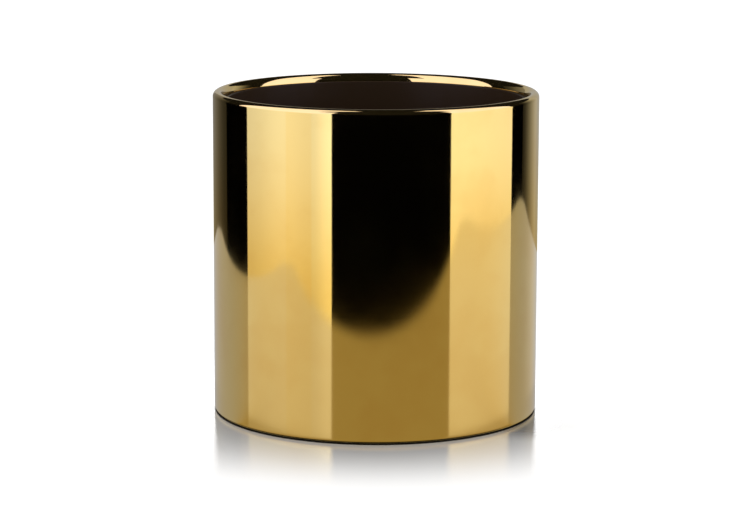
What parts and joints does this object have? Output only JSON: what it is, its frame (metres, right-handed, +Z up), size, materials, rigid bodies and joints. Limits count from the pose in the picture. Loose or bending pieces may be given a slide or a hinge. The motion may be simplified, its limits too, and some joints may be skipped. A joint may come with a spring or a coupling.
{
  "type": "planter pot",
  "caption": "Straight-sided round planter pot in polished brass sheet, with a rolled rim, a soldered base pan, rubber foot pads and a dark liner that lifts out.",
  "frame": {"origin": "centre of the circle of foot pads, on the surface that the pot stands on", "axes": "+Z up the pot's axis, out of its mouth; +X and +Y halfway between foot pads"},
  "size_m": [0.15, 0.15, 0.149],
  "materials": {
    "polished_brass": "polished",
    "pan_brass": "satin",
    "wire": "satin",
    "solder": "satin",
    "liner_plastic": "satin",
    "pad_rubber": "matte"
  },
  "bodies": {
    "pot": {"outer_wall": "polished_brass", "rim_wire": "wire", "base_pan": "pan_brass", "solder_seam": "solder", "foot_pad_1": "pad_rubber", "foot_pad_2": "pad_rubber", "foot_pad_3": "pad_rubber", "foot_pad_4": "pad_rubber"},
    "liner": {"liner": "liner_plastic"}
  },
  "joints": [
    {"name": "liner_lift", "type": "slide", "parent": "pot", "child": "liner", "axis": [0, 0, 1], "range_m": [0, 0.15]}
  ]
}
